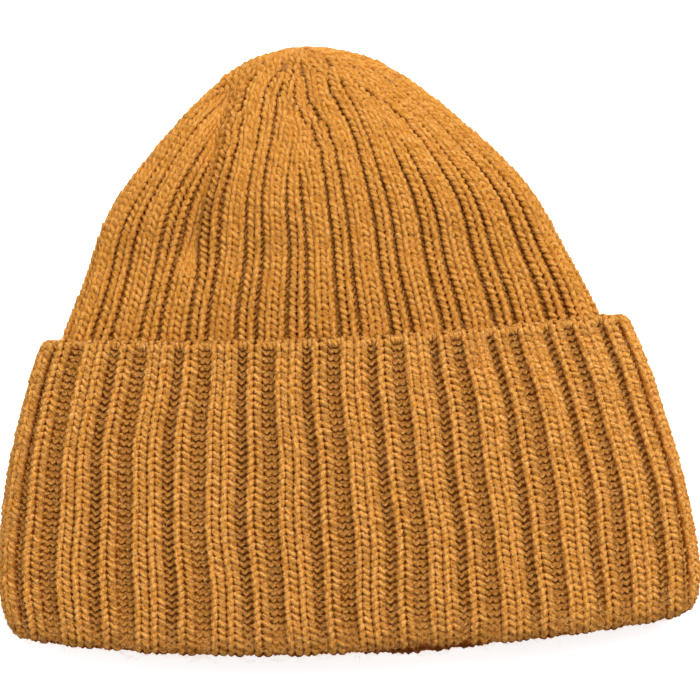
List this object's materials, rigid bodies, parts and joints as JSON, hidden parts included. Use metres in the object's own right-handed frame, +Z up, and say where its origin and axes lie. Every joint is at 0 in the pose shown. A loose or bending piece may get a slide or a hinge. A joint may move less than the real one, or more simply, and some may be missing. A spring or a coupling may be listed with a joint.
{
  "type": "knit beanie",
  "caption": "Rib-knit beanie with a deep turned-up cuff, lying flat on its back, with a domed crown drawn together at the apex.",
  "frame": {"origin": "middle of the hat's width and height, on the surface that it lies on", "axes": "+X across the hat, +Y from the mouth to the crown, +Z up from the surface, out of the hat's front"},
  "size_m": [0.23, 0.203, 0.0336],
  "materials": {
    "rib_knit": "soft brushed wool, ochre",
    "edge_yarn": "soft plied wool yarn, ochre",
    "seam_yarn": "linked wool yarn, ochre"
  },
  "bodies": {
    "root": {"crown_knit": "rib_knit", "inner_band": "rib_knit", "cuff_fold": "rib_knit", "turned_up_cuff": "rib_knit", "cast_on_edge": "edge_yarn", "crown_draw_yarn": "edge_yarn", "back_seam": "seam_yarn", "cuff_seam": "seam_yarn", "woven_in_end": "edge_yarn"}
  },
  "joints": []
}
